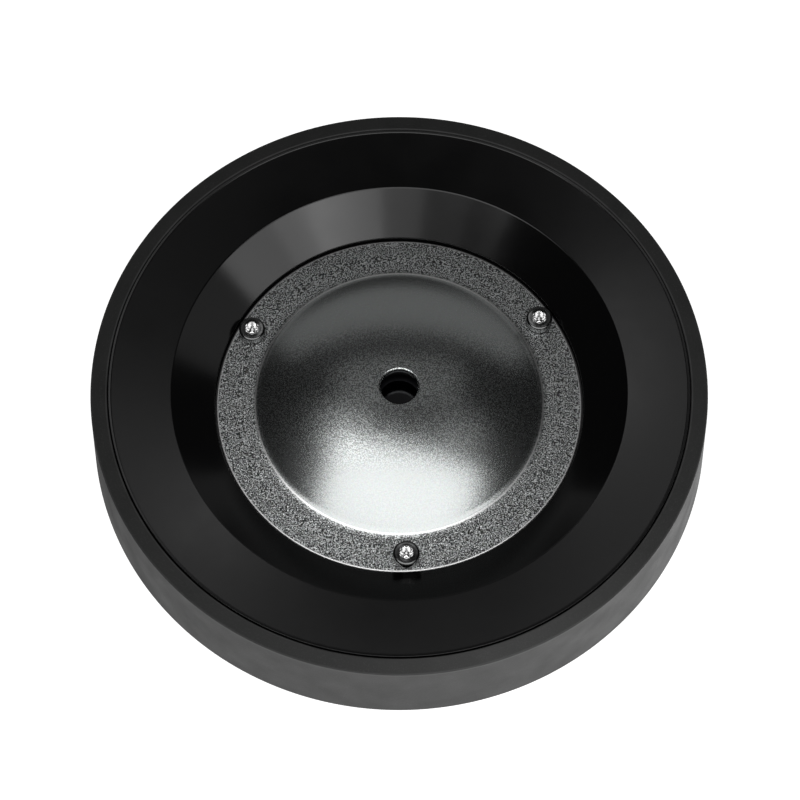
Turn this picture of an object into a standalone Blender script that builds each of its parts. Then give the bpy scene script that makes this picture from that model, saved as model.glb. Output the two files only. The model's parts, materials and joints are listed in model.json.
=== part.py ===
"""Low banding wheel, 180 mm across, lying on its wheel head with its base upwards.

The wheel head is a tray: a flat working face below and a skirt round the outside.
The moulded base sits inside the skirt and stays still in use. Between them are a ring
of caged balls, which carries the load, and a small ball bearing on the spindle.
A domed steel plate with three screws closes the middle of the base.

Blender units are metres and +Z is up. Every dimension below is in millimetres and the
mesh helpers multiply by MM. The spin axis is the world Z axis. The working face is at
Z = 0, so the origin is its centre.
"""

import math

import bmesh
import bpy
from mathutils import Matrix, Vector

MM = 0.001
GAP = 0.3  # clearance between pieces that touch on the real object

# Wheel head
HEAD_R = 90.75  # skirt at the working face
RIM_R = 90.0  # skirt at its rim: the casting draft
RIM_Z = 27.06
LIP_R = 85.1  # inner edge of the rim
LIP_Z = 27.75
DISC_Z = 5.0  # inner face of the disc
BOSS_R = 27.0  # central boss, which also centres the thrust race
BOSS_Z = 6.5
GROOVE_STEP = 15.0  # centring grooves in the working face
GROOVE_COUNT = 5
GROOVE_W = 1.2
GROOVE_D = 0.6

# Base shell
BASE_R = 84.8
LAND_Z = 28.05  # the ring that the wheel stands on in use
LAND_IN = 84.1
FUNNEL_R = 83.9
FUNNEL_Z = 27.93
BREAK_R = 66.6  # where the funnel turns into the steep cone
BREAK_Z = 25.45
CONE_DEG = 36.0
BASE_WALL = 3.0
OUTER_WALL_Z = 20.5
SEAT_R = 54.3  # recess for the cover plate
SEAT_Z = 14.36
SEAT_IN = 38.5
SEAT_UNDER = 11.36
FLOOR_R = 36.2  # raised floor under the dome
FLOOR_Z = 16.2
RACE_POCKET_R = 34.9
RACE_POCKET_Z = 13.4
HUB_R = 15.5
HUB_TOP = 19.2
HUB_BOTTOM = 9.5
HUB_LIP_R = 10.6
OUTER_WALL = 2.4
INSERT_BOSS_R = 5.0
INSERT_BOSS_Z = 7.2

# Cover plate
PLATE_R = 53.9
PLATE_TOP = 15.96
PLATE_T = 1.3
DOME_R = 42.4
DOME_TOP = 27.2  # where the dome would close, over the hole
HOLE_R = 5.4
HOLE_ROUND = 0.7
COLLAR_R = 6.6  # outside of the edge that is turned down round the hole
COLLAR_Z = 25.1
DOME_BLEND = 1.2  # how far the fillet between dome and flange reaches
DOME_UNDER = 2.2

# Cover screws and their inserts
SCREW_CIRCLE = 49.2
SCREW_ANGLES = (32.4, 152.4, 272.4)
SCREW_HEAD_R = 3.85
SCREW_HEAD_SIDE = 2.2
SCREW_HEAD_H = 3.0
SCREW_R = 2.0
SCREW_END = 8.8
SOCKET_R = 1.66  # mean radius of the six-lobed socket
SOCKET_WAVE = 0.27
SOCKET_DEPTH = 1.7
CHAMFER = 0.5  # at the end of every screw
INSERT_R = 2.8
INSERT_TOP = 14.1
INSERT_BOTTOM = 8.6

# Thrust race: balls between two grooved rings
RACE_PITCH = 31.0
RACE_HALF_W = 3.5
RACE_T = 2.0
RACE_GROOVE_R = 2.7
RACE_GROOVE_D = 0.7
THRUST_BALL_R = 2.5
THRUST_BALLS = 12
BALL_PLAY = 0.1
THRUST_CAGE_HALF_W = 3.1
THRUST_CAGE_T = 1.4

# Spindle, its screws and its retaining ring
SPINDLE_FLANGE_R = 17.5
SPINDLE_FLANGE_TOP = 9.0
SHOULDER_R = 7.4
SPINDLE_R = 5.9
SPINDLE_TOP = 18.8
SPINDLE_CHAMFER = 0.4
FLANGE_SCREWS = 4
FLANGE_SCREW_CIRCLE = 12.4
FLANGE_SCREW_HEAD_R = 3.7
FLANGE_SCREW_R = 1.9
FLANGE_SCREW_END = 2.2
FLANGE_HOLE_END = 1.9
HEX_R = 1.45
HEX_DEPTH = 1.3
SINK_STEPS = 16
SPINDLE_GROOVE_R = 5.3
SPINDLE_GROOVE_LOW = 17.5
SPINDLE_GROOVE_HIGH = 18.4
SPINDLE_CLIP_IN = 5.6
SPINDLE_CLIP_OUT = 7.9
SPINDLE_CLIP_OPENING = 34.0
CLIP_PLAY = 0.1
WASHER_R = 7.3
WASHER_T = 0.4

# Spindle bearing, 12 x 24 x 6 mm
BEARING_BOTTOM = 10.7
BEARING_T = 6.0
BEARING_R = 12.0
BEARING_BORE_R = 6.05
INNER_RING_R = 7.6
OUTER_RING_R = 10.4
BEARING_PITCH = 9.0
BEARING_BALL_R = 1.6
BEARING_BALLS = 8
BEARING_GROOVE_R = 1.75
BORE_GROOVE_DEPTH = 0.85
BORE_GROOVE_W = 1.2
BORE_CLIP_IN = 10.3
BORE_CLIP_OUT = 12.6
BORE_CLIP_OPENING = 30.0
SHIELD_T = 0.4
SHIELD_INSET = 0.25
BEARING_CAGE_INSET = 0.55
BEARING_CAGE_HALF_H = 2.15

BIG_STEPS = 44
MID_STEPS = 24
SMALL_STEPS = 20
SCREW_STEPS = 16

OBJECT = "banding_wheel"


# ---------------------------------------------------------------- scene helpers


def clear_scene():
    for obj in list(bpy.data.objects):
        bpy.data.objects.remove(obj, do_unlink=True)


def collection(name):
    made = bpy.data.collections.new(name)
    bpy.context.scene.collection.children.link(made)
    return made


def material(name, colour, roughness, metallic):
    made = bpy.data.materials.new(name)
    made.use_nodes = True
    shader = made.node_tree.nodes["Principled BSDF"]
    shader.inputs["Base Color"].default_value = (*colour, 1.0)
    shader.inputs["Roughness"].default_value = roughness
    shader.inputs["Metallic"].default_value = metallic
    return made


def empty(name, parent=None):
    made = bpy.data.objects.new(name, None)
    made.empty_display_size = 0.02
    made.parent = parent
    PARTS.objects.link(made)
    return made


def add_piece(name, mesh, parent, finish, place=(0.0, 0.0, 0.0), turn=0.0):
    """Adds a sub-part at a place in millimetres, turned about Z by an angle in degrees."""
    obj = bpy.data.objects.new(name, mesh)
    obj.location = Vector(place) * MM
    obj.rotation_euler = (0.0, 0.0, math.radians(turn))
    obj.parent = parent
    if not mesh.materials:
        mesh.materials.append(finish)
    PARTS.objects.link(obj)
    return obj


def add_cutter(name, mesh):
    obj = bpy.data.objects.new(name, mesh)
    obj.hide_render = True
    obj.display_type = "WIRE"
    CUTTERS.objects.link(obj)
    return obj


def combine(obj, cutter, operation="DIFFERENCE"):
    boolean = obj.modifiers.new(cutter.name, "BOOLEAN")
    boolean.object = cutter
    boolean.operation = operation
    boolean.solver = "EXACT"


# ---------------------------------------------------------------- shape helpers


def rounded(points, segments=2):
    """A profile with its corners rounded: a point (r, z, radius) becomes an arc."""
    out = []
    for i, point in enumerate(points):
        if len(point) == 2:
            out.append(point)
            continue
        here = Vector(point[:2])
        before = Vector(points[i - 1][:2])
        after = Vector(points[(i + 1) % len(points)][:2])
        to_before = (before - here).normalized()
        to_after = (after - here).normalized()
        half = to_before.angle(to_after) / 2
        reach = point[2] / math.tan(half)
        middle = here + (to_before + to_after).normalized() * point[2] / math.sin(half)
        start = here + to_before * reach - middle
        sweep = start.angle_signed(here + to_after * reach - middle)
        for step in range(segments + 1):
            turned_by = Matrix.Rotation(-sweep * step / segments, 2)
            out.append(tuple(middle + turned_by @ start))
    return out


def arc(centre, radius, start_deg, end_deg, segments):
    """Points (r, z) along an arc, both ends included."""
    angles = (start_deg + (end_deg - start_deg) * i / segments for i in range(segments + 1))
    return [
        (
            centre[0] + radius * math.cos(math.radians(angle)),
            centre[1] + radius * math.sin(math.radians(angle)),
        )
        for angle in angles
    ]


def turned(name, profile, parent, finish, steps, closed=True, place=(0.0, 0.0, 0.0)):
    """A turned sub-part: the profile (r, z) runs down its outer side. An open one ends on the axis."""
    mesh = bpy.data.meshes.new(name)
    count = len(profile)
    edges = [(i, i + 1) for i in range(count - 1)]
    if closed:
        edges.append((count - 1, 0))
    mesh.from_pydata([(r * MM, 0.0, z * MM) for r, z in profile], edges, [])
    obj = add_piece(name, mesh, parent, finish, place)
    screw = obj.modifiers.new("turn", "SCREW")
    screw.axis = "Z"
    screw.steps = steps
    screw.render_steps = steps
    screw.use_merge_vertices = True
    screw.merge_threshold = 0.000001
    screw.use_smooth_shade = True
    return obj


def pins(name, radius, low, high, places, segments):
    """One mesh of upright cylinders, each at a place (x, y)."""
    shape = bmesh.new()
    for x, y in places:
        spot = Matrix.Translation(Vector((x, y, (low + high) / 2)) * MM)
        bmesh.ops.create_cone(
            shape,
            cap_ends=True,
            segments=segments,
            radius1=radius * MM,
            radius2=radius * MM,
            depth=(high - low) * MM,
            matrix=spot,
        )
    mesh = bpy.data.meshes.new(name)
    shape.to_mesh(mesh)
    shape.free()
    return mesh


def on_circle(radius, count, first_deg=0.0):
    return [polar(radius, first_deg + 360.0 * i / count) for i in range(count)]


def polar(radius, degrees):
    angle = math.radians(degrees)
    return radius * math.cos(angle), radius * math.sin(angle)


def ball_mesh(name, radius, segments, rings):
    shape = bmesh.new()
    bmesh.ops.create_uvsphere(shape, u_segments=segments, v_segments=rings, radius=radius * MM)
    mesh = bpy.data.meshes.new(name)
    shape.to_mesh(mesh)
    shape.free()
    mesh.shade_smooth()
    return mesh


def ring_of_balls(name, mesh, radius, height, count, parent, finish):
    for i, (x, y) in enumerate(on_circle(radius, count)):
        add_piece(f"{name}_{i + 1:02d}", mesh, parent, finish, (x, y, height), 360.0 * i / count)


def split_ring(name, inner, outer, bottom, thickness, opening_deg, parent, finish):
    """A flat retaining ring with an opening, an outline curve extruded to its thickness."""
    outline = bpy.data.curves.new(name, "CURVE")
    outline.dimensions = "2D"
    outline.fill_mode = "BOTH"
    outline.extrude = thickness / 2 * MM
    start, end = opening_deg / 2, 360.0 - opening_deg / 2
    points = arc((0.0, 0.0), outer, start, end, SMALL_STEPS)
    points += arc((0.0, 0.0), inner, end, start, SMALL_STEPS)
    spline = outline.splines.new("POLY")
    spline.points.add(len(points) - 1)
    for point, (x, y) in zip(spline.points, points):
        point.co = (x * MM, y * MM, 0.0, 1.0)
    spline.use_cyclic_u = True
    outline.materials.append(finish)
    obj = bpy.data.objects.new(name, outline)
    obj.location = (0.0, 0.0, (bottom + thickness / 2) * MM)
    obj.parent = parent
    PARTS.objects.link(obj)
    return obj


# ---------------------------------------------------------------- wheel head body


def wheel_head(parent):
    profile = [(0.0, BOSS_Z), (BOSS_R, BOSS_Z), (BOSS_R, DISC_Z)]
    profile += [(LIP_R, DISC_Z), (LIP_R, LIP_Z, 0.4), (RIM_R, RIM_Z, 0.7)]
    profile += [(HEAD_R, 0.0, 1.0)]
    for i in range(GROOVE_COUNT, 0, -1):
        middle = i * GROOVE_STEP
        profile.append((middle + GROOVE_W / 2, 0.0))
        profile.append((middle, GROOVE_D))
        profile.append((middle - GROOVE_W / 2, 0.0))
    profile.append((0.0, 0.0))
    head = turned("wheel_head", rounded(profile), parent, CAST_PAINT, BIG_STEPS, closed=False)
    holes = on_circle(FLANGE_SCREW_CIRCLE, FLANGE_SCREWS)
    tapped = pins("head_tapped_holes", FLANGE_SCREW_R + GAP, FLANGE_HOLE_END, BOSS_Z + 1, holes, 12)
    combine(head, add_cutter("head_tapped_holes", tapped))


def race_profile(low, high, groove_z, facing):
    """A flat ring with a ball groove in its top (facing 1) or its bottom (facing -1)."""
    inner, outer = RACE_PITCH - RACE_HALF_W, RACE_PITCH + RACE_HALF_W
    reach = math.degrees(math.acos(1 - RACE_GROOVE_D / RACE_GROOVE_R))
    bottom_deg = -90.0 * facing
    groove = arc((RACE_PITCH, groove_z), RACE_GROOVE_R, bottom_deg - reach, bottom_deg + reach, 4)
    if facing > 0:
        return [(outer, high), (outer, low), (inner, low), (inner, high)] + groove
    return [(outer, low)] + groove + [(inner, low), (inner, high), (outer, high)]


def head_race(parent):
    low = DISC_Z + GAP
    high = low + RACE_T
    groove_z = high - RACE_GROOVE_D + RACE_GROOVE_R
    profile = race_profile(low, high, groove_z, 1)
    turned("head_race", profile, parent, RACE_STEEL, BIG_STEPS)


def spindle(parent):
    profile = [(0.0, SPINDLE_TOP), (SPINDLE_R - SPINDLE_CHAMFER, SPINDLE_TOP)]
    profile += [(SPINDLE_R, SPINDLE_TOP - SPINDLE_CHAMFER)]
    profile += [(SPINDLE_R, SPINDLE_GROOVE_HIGH), (SPINDLE_GROOVE_R, SPINDLE_GROOVE_HIGH)]
    profile += [(SPINDLE_GROOVE_R, SPINDLE_GROOVE_LOW), (SPINDLE_R, SPINDLE_GROOVE_LOW)]
    profile += [(SPINDLE_R, BEARING_BOTTOM - GAP)]
    profile += [(SHOULDER_R, BEARING_BOTTOM - GAP), (SHOULDER_R, SPINDLE_FLANGE_TOP)]
    profile += [(SPINDLE_FLANGE_R, SPINDLE_FLANGE_TOP), (SPINDLE_FLANGE_R, BOSS_Z + GAP)]
    profile += [(0.0, BOSS_Z + GAP)]
    turned_spindle = turned("spindle", profile, parent, GROUND_STEEL, MID_STEPS, closed=False)
    holes = countersinks("spindle_countersinks")
    combine(turned_spindle, add_cutter("spindle_countersinks", holes))


def countersinks(name):
    """Through holes with a 90 degree sink, for the screws of the spindle flange."""
    wide = FLANGE_SCREW_HEAD_R + GAP
    narrow = FLANGE_SCREW_R + GAP
    sink = wide - narrow
    top = SPINDLE_FLANGE_TOP
    shape = bmesh.new()
    for x, y in on_circle(FLANGE_SCREW_CIRCLE, FLANGE_SCREWS):
        spot = Matrix.Translation(Vector((x, y, 0.0)) * MM)
        levels = [(narrow, BOSS_Z - 1), (narrow, top - sink), (wide, top), (wide, top + 1)]
        rings = []
        for radius, z in levels:
            made = bmesh.ops.create_circle(
                shape,
                segments=SINK_STEPS,
                radius=radius * MM,
                matrix=spot @ Matrix.Translation((0.0, 0.0, z * MM)),
            )
            rings.append(made["verts"])
        for lower, upper in zip(rings, rings[1:]):
            for i in range(SINK_STEPS):
                j = (i + 1) % SINK_STEPS
                shape.faces.new((lower[i], lower[j], upper[j], upper[i]))
        shape.faces.new(rings[0][::-1])
        shape.faces.new(rings[-1])
    bmesh.ops.recalc_face_normals(shape, faces=shape.faces)
    mesh = bpy.data.meshes.new(name)
    shape.to_mesh(mesh)
    shape.free()
    return mesh


def flange_screws(parent):
    """Countersunk screws that hold the spindle flange to the wheel head."""
    sink = FLANGE_SCREW_HEAD_R - FLANGE_SCREW_R
    top = SPINDLE_FLANGE_TOP - 0.1
    profile = [(0.0, top), (FLANGE_SCREW_HEAD_R, top), (FLANGE_SCREW_R, top - sink)]
    profile += [(FLANGE_SCREW_R, FLANGE_SCREW_END + CHAMFER)]
    profile += [(FLANGE_SCREW_R - CHAMFER, FLANGE_SCREW_END), (0.0, FLANGE_SCREW_END)]
    recess = bpy.data.meshes.new("flange_screw_recess")
    shape = bmesh.new()
    bmesh.ops.create_cone(
        shape,
        cap_ends=True,
        segments=6,
        radius1=HEX_R * MM,
        radius2=HEX_R * MM,
        depth=2 * HEX_DEPTH * MM,
        matrix=Matrix.Translation((0.0, 0.0, top * MM)),
    )
    shape.to_mesh(recess)
    shape.free()
    for i, (x, y) in enumerate(on_circle(FLANGE_SCREW_CIRCLE, FLANGE_SCREWS)):
        name = f"flange_screw_{i + 1}"
        screw = turned(name, profile, parent, ZINC, SCREW_STEPS, closed=False, place=(x, y, 0.0))
        cutter = add_cutter(f"{name}_recess", recess)
        cutter.location = (x * MM, y * MM, 0.0)
        combine(screw, cutter)


def bearing_inner_ring(parent):
    low, high = BEARING_BOTTOM, BEARING_BOTTOM + BEARING_T
    middle = (low + high) / 2
    reach = math.degrees(math.acos((BEARING_PITCH - INNER_RING_R) / BEARING_GROOVE_R))
    groove = arc((BEARING_PITCH, middle), BEARING_GROOVE_R, 180 - reach, 180 + reach, 4)
    profile = [(INNER_RING_R, high)] + groove + [(INNER_RING_R, low)]
    profile += [(BEARING_BORE_R, low), (BEARING_BORE_R, high)]
    turned("bearing_inner_ring", profile, parent, RACE_STEEL, MID_STEPS)


def spindle_washer(parent):
    low = BEARING_BOTTOM + BEARING_T + GAP
    high = low + WASHER_T
    profile = [(WASHER_R, high), (WASHER_R, low), (BEARING_BORE_R, low), (BEARING_BORE_R, high)]
    turned("spindle_washer", profile, parent, ZINC, MID_STEPS)


def spindle_circlip(parent):
    low = SPINDLE_GROOVE_LOW + CLIP_PLAY
    thickness = SPINDLE_GROOVE_HIGH - SPINDLE_GROOVE_LOW - 2 * CLIP_PLAY
    size = (SPINDLE_CLIP_IN, SPINDLE_CLIP_OUT, low, thickness, SPINDLE_CLIP_OPENING)
    split_ring("spindle_circlip", *size, parent, SPRING_STEEL)


# ---------------------------------------------------------------- base body


def base_profile():
    """The section of the base shell, from the inner edge of the land outwards and round."""
    slope = math.atan2(FUNNEL_Z - BREAK_Z, FUNNEL_R - BREAK_R)
    steep = math.radians(CONE_DEG)
    cone_foot = BREAK_Z - (BREAK_R - SEAT_R) * math.tan(steep)
    bisector = (slope + steep) / 2
    reach = BASE_WALL / math.cos((steep - slope) / 2)
    under_r = BREAK_R + reach * math.sin(bisector)
    under_z = BREAK_Z - reach * math.cos(bisector)
    outer_in = BASE_R - OUTER_WALL
    outer_z = under_z + (outer_in - under_r) * math.tan(slope)
    under_foot_r = under_r - (under_z - SEAT_UNDER) / math.tan(steep)
    bearing_top = BEARING_BOTTOM + BEARING_T
    profile = [(SEAT_R, cone_foot), (BREAK_R, BREAK_Z, 1.0), (FUNNEL_R, FUNNEL_Z)]
    profile += [(LAND_IN, LAND_Z), (BASE_R, LAND_Z, 0.15), (BASE_R, OUTER_WALL_Z)]
    profile += [(outer_in, OUTER_WALL_Z), (outer_in, outer_z), (under_r, under_z)]
    profile += [(under_foot_r, SEAT_UNDER), (RACE_POCKET_R, SEAT_UNDER)]
    profile += [(RACE_POCKET_R, RACE_POCKET_Z), (HUB_R, RACE_POCKET_Z), (HUB_R, HUB_BOTTOM)]
    profile += [(HUB_LIP_R, HUB_BOTTOM), (HUB_LIP_R, BEARING_BOTTOM - GAP)]
    bore = BEARING_R + 0.1
    groove = bore + BORE_GROOVE_DEPTH
    groove_low = bearing_top + GAP - CLIP_PLAY
    groove_high = groove_low + BORE_GROOVE_W
    profile += [(bore, BEARING_BOTTOM - GAP), (bore, groove_low), (groove, groove_low)]
    profile += [(groove, groove_high), (bore, groove_high), (bore, HUB_TOP)]
    profile += [(HUB_R, HUB_TOP), (HUB_R, FLOOR_Z), (FLOOR_R, FLOOR_Z)]
    profile += [(SEAT_IN, SEAT_Z), (SEAT_R, SEAT_Z)]
    return rounded(profile)


def base_shell(parent):
    base = turned("base_shell", base_profile(), parent, GLOSS_BLACK, BIG_STEPS)
    places = [polar(SCREW_CIRCLE, angle) for angle in SCREW_ANGLES]
    bosses = pins("insert_bosses", INSERT_BOSS_R, INSERT_BOSS_Z, SEAT_UNDER + 1.0, places, 16)
    combine(base, add_cutter("insert_bosses", bosses), "UNION")
    holes = pins("insert_holes", INSERT_R + GAP, INSERT_BOTTOM - GAP, SEAT_Z + 1, places, 12)
    combine(base, add_cutter("insert_holes", holes))


def base_race(parent):
    high = RACE_POCKET_Z - GAP
    low = high - RACE_T
    groove_z = low + RACE_GROOVE_D - RACE_GROOVE_R
    profile = race_profile(low, high, groove_z, -1)
    turned("base_race", profile, parent, RACE_STEEL, BIG_STEPS)


def bearing_outer_ring(parent):
    low, high = BEARING_BOTTOM, BEARING_BOTTOM + BEARING_T
    middle = (low + high) / 2
    reach = math.degrees(math.acos((OUTER_RING_R - BEARING_PITCH) / BEARING_GROOVE_R))
    groove = arc((BEARING_PITCH, middle), BEARING_GROOVE_R, -reach, reach, 4)
    profile = [(BEARING_R, high), (BEARING_R, low), (OUTER_RING_R, low)]
    profile += groove + [(OUTER_RING_R, high)]
    turned("bearing_outer_ring", profile, parent, RACE_STEEL, MID_STEPS)


def bearing_shields(parent):
    inner, outer = INNER_RING_R + 0.15, OUTER_RING_R - 0.1
    low = BEARING_BOTTOM + SHIELD_INSET
    high = BEARING_BOTTOM + BEARING_T - SHIELD_INSET - SHIELD_T
    for name, z in (("bearing_shield_lower", low), ("bearing_shield_upper", high)):
        profile = [(outer, z + SHIELD_T), (outer, z), (inner, z), (inner, z + SHIELD_T)]
        turned(name, profile, parent, RUBBER, MID_STEPS)


def bearing_circlip(parent):
    low = BEARING_BOTTOM + BEARING_T + GAP
    thickness = BORE_GROOVE_W - 2 * CLIP_PLAY
    size = (BORE_CLIP_IN, BORE_CLIP_OUT, low, thickness, BORE_CLIP_OPENING)
    split_ring("bearing_circlip", *size, parent, SPRING_STEEL)


def dome_profile():
    """The section of the cover plate, from the hole outwards, then back underneath."""
    rise = DOME_TOP - PLATE_TOP
    ball = (DOME_R**2 + rise**2) / (2 * rise)
    centre = (0.0, DOME_TOP - ball)
    hole_deg = 90 - math.degrees(math.asin((HOLE_R + HOLE_ROUND) / ball))
    foot_deg = 90 - math.degrees(math.asin((DOME_R - DOME_BLEND) / ball))
    collar_deg = 90 - math.degrees(math.asin(COLLAR_R / (ball - PLATE_T)))
    under_deg = 90 - math.degrees(math.asin((DOME_R - DOME_UNDER) / (ball - PLATE_T)))
    top = arc(centre, ball, hole_deg, foot_deg, 7)
    under = arc(centre, ball - PLATE_T, under_deg, collar_deg, 5)
    flange = [(DOME_R + DOME_BLEND, PLATE_TOP), (PLATE_R, PLATE_TOP, 0.5)]
    flange += [(PLATE_R, PLATE_TOP - PLATE_T)]
    foot = [(DOME_R - GAP, PLATE_TOP - PLATE_T)]
    collar = [(COLLAR_R, COLLAR_Z), (HOLE_R, COLLAR_Z), (HOLE_R, top[0][1] - HOLE_ROUND)]
    return rounded(top + flange + foot + under + collar)


def cover_plate(parent):
    plate = turned("cover_plate", dome_profile(), parent, PLATE_STEEL, BIG_STEPS)
    places = [polar(SCREW_CIRCLE, angle) for angle in SCREW_ANGLES]
    holes = pins("plate_holes", SCREW_R + GAP, PLATE_TOP - 3, PLATE_TOP + 1, places, 12)
    combine(plate, add_cutter("plate_holes", holes))


def lobed_socket(name, low, high):
    """A six-lobed prism: a cylinder whose radius follows a wave."""
    shape = bmesh.new()
    bmesh.ops.create_cone(
        shape,
        cap_ends=True,
        segments=24,
        radius1=1.0,
        radius2=1.0,
        depth=(high - low) * MM,
        matrix=Matrix.Translation((0.0, 0.0, (low + high) / 2 * MM)),
    )
    for vertex in shape.verts:
        angle = math.atan2(vertex.co.y, vertex.co.x)
        radius = SOCKET_R + SOCKET_WAVE * math.cos(6 * angle)
        vertex.co.x = radius * math.cos(angle) * MM
        vertex.co.y = radius * math.sin(angle) * MM
    mesh = bpy.data.meshes.new(name)
    shape.to_mesh(mesh)
    shape.free()
    return mesh


def cover_screws(parent):
    seat = PLATE_TOP + 0.25
    side = seat + SCREW_HEAD_SIDE
    crown = seat + SCREW_HEAD_H
    profile = [(0.0, crown), (SCREW_HEAD_R * 0.55, crown - 0.1), (SCREW_HEAD_R - 0.3, side + 0.3)]
    profile += [(SCREW_HEAD_R, side), (SCREW_HEAD_R, seat), (SCREW_R, seat)]
    profile += [(SCREW_R, SCREW_END + CHAMFER), (SCREW_R - CHAMFER, SCREW_END), (0.0, SCREW_END)]
    socket = lobed_socket("screw_socket", crown - SOCKET_DEPTH, crown + 1.0)
    for i, angle in enumerate(SCREW_ANGLES):
        name = f"cover_screw_{i + 1}"
        x, y = polar(SCREW_CIRCLE, angle)
        screw = turned(name, profile, parent, DARK_STEEL, SCREW_STEPS, closed=False, place=(x, y, 0.0))
        cutter = add_cutter(f"{name}_socket", socket)
        cutter.location = (x * MM, y * MM, 0.0)
        combine(screw, cutter)


def screw_inserts(parent):
    inner = SCREW_R + GAP
    profile = [(INSERT_R, INSERT_TOP), (INSERT_R, INSERT_BOTTOM)]
    profile += [(inner, INSERT_BOTTOM), (inner, INSERT_TOP)]
    for i, angle in enumerate(SCREW_ANGLES):
        x, y = polar(SCREW_CIRCLE, angle)
        turned(f"screw_insert_{i + 1}", profile, parent, BRASS, SCREW_STEPS, place=(x, y, 0.0))


# ---------------------------------------------------------------- ball sets


def thrust_ball_height():
    return DISC_Z + GAP + RACE_T - RACE_GROOVE_D + BALL_PLAY + THRUST_BALL_R


def thrust_set(parent):
    height = thrust_ball_height()
    inner, outer = RACE_PITCH - THRUST_CAGE_HALF_W, RACE_PITCH + THRUST_CAGE_HALF_W
    low, high = height - THRUST_CAGE_T / 2, height + THRUST_CAGE_T / 2
    profile = [(outer, high), (outer, low), (inner, low), (inner, high)]
    cage = turned("thrust_cage", profile, parent, NYLON, BIG_STEPS)
    spots = on_circle(RACE_PITCH, THRUST_BALLS)
    pockets = pins("thrust_pockets", THRUST_BALL_R + 0.2, low - 1, high + 1, spots, 12)
    combine(cage, add_cutter("thrust_pockets", pockets))
    mesh = ball_mesh("thrust_ball", THRUST_BALL_R, 12, 6)
    ring_of_balls("thrust_ball", mesh, RACE_PITCH, height, THRUST_BALLS, parent, BALL_STEEL)


def bearing_set(parent):
    middle = BEARING_BOTTOM + BEARING_T / 2
    inner, outer = INNER_RING_R + BEARING_CAGE_INSET, OUTER_RING_R - BEARING_CAGE_INSET
    low, high = middle - BEARING_CAGE_HALF_H, middle + BEARING_CAGE_HALF_H
    profile = [(outer, high), (outer, low), (inner, low), (inner, high)]
    cage = turned("bearing_cage", profile, parent, NYLON, MID_STEPS)
    shape = bmesh.new()
    for x, y in on_circle(BEARING_PITCH, BEARING_BALLS):
        spot = Matrix.Translation(Vector((x, y, middle)) * MM)
        bmesh.ops.create_uvsphere(
            shape, u_segments=8, v_segments=6, radius=(BEARING_BALL_R + 0.3) * MM, matrix=spot
        )
    pockets = bpy.data.meshes.new("bearing_pockets")
    shape.to_mesh(pockets)
    shape.free()
    combine(cage, add_cutter("bearing_pockets", pockets))
    mesh = ball_mesh("bearing_ball", BEARING_BALL_R, 10, 5)
    ring_of_balls("bearing_ball", mesh, BEARING_PITCH, middle, BEARING_BALLS, parent, BALL_STEEL)


# ---------------------------------------------------------------- assembly

clear_scene()
PARTS = collection(OBJECT)
CUTTERS = collection("cutters")

CAST_PAINT = material("textured_coat", (0.018, 0.0185, 0.018), 0.5, 0.0)
GLOSS_BLACK = material("gloss_black", (0.006, 0.006, 0.007), 0.12, 0.0)
PLATE_STEEL = material("plate_steel", (0.36, 0.38, 0.375), 0.3, 1.0)
DARK_STEEL = material("screw_steel", (0.2, 0.21, 0.21), 0.22, 1.0)
BRASS = material("insert_brass", (0.6, 0.43, 0.18), 0.35, 1.0)
RACE_STEEL = material("race_steel", (0.5, 0.5, 0.51), 0.25, 1.0)
BALL_STEEL = material("ball_steel", (0.62, 0.62, 0.63), 0.08, 1.0)
GROUND_STEEL = material("spindle_steel", (0.42, 0.42, 0.43), 0.3, 1.0)
SPRING_STEEL = material("spring_steel", (0.08, 0.08, 0.085), 0.4, 1.0)
ZINC = material("zinc_plate", (0.55, 0.56, 0.58), 0.35, 1.0)
NYLON = material("cage_nylon", (0.55, 0.5, 0.4), 0.55, 0.0)
RUBBER = material("seal_rubber", (0.02, 0.02, 0.02), 0.6, 0.0)


def build():
    whole = empty(OBJECT)
    base = empty("base_body", whole)
    head = empty("head_spin_axis", whole)
    thrust = empty("thrust_set_axis", whole)
    bearing = empty("bearing_set_axis", whole)

    wheel_head(head)
    head_race(head)
    spindle(head)
    flange_screws(head)
    bearing_inner_ring(head)
    spindle_washer(head)
    spindle_circlip(head)

    base_shell(base)
    base_race(base)
    bearing_outer_ring(base)
    bearing_shields(base)
    bearing_circlip(base)
    cover_plate(base)
    cover_screws(base)
    screw_inserts(base)

    thrust_set(thrust)
    bearing_set(bearing)


build()
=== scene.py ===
"""Looks of the low banding wheel: fine meshes, materials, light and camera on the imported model.

Each piece is turned or lofted at a fine resolution from the dimensions below, in millimetres,
and stands for the CAD node whose name it carries. The mesh helpers multiply by MM. The spin
axis is the world Z axis and the wheel lies on its working face at Z = 0.
"""

import json
import math

import bpy
from mathutils import Matrix, Vector


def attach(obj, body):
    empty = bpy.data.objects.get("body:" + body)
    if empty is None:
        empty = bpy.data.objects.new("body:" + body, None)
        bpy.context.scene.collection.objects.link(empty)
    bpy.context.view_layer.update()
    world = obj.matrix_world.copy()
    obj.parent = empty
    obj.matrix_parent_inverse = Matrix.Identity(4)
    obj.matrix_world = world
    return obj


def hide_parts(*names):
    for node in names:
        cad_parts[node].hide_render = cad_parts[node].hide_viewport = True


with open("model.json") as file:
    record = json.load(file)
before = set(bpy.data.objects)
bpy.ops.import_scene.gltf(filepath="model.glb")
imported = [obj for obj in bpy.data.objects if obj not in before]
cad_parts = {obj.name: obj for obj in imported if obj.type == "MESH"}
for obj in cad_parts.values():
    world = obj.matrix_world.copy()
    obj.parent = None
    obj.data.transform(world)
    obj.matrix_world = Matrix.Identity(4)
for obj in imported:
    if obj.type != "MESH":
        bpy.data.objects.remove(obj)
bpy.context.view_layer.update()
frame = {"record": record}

MM = 0.001
GAP = 0.3  # clearance between pieces that touch on the real object
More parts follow.
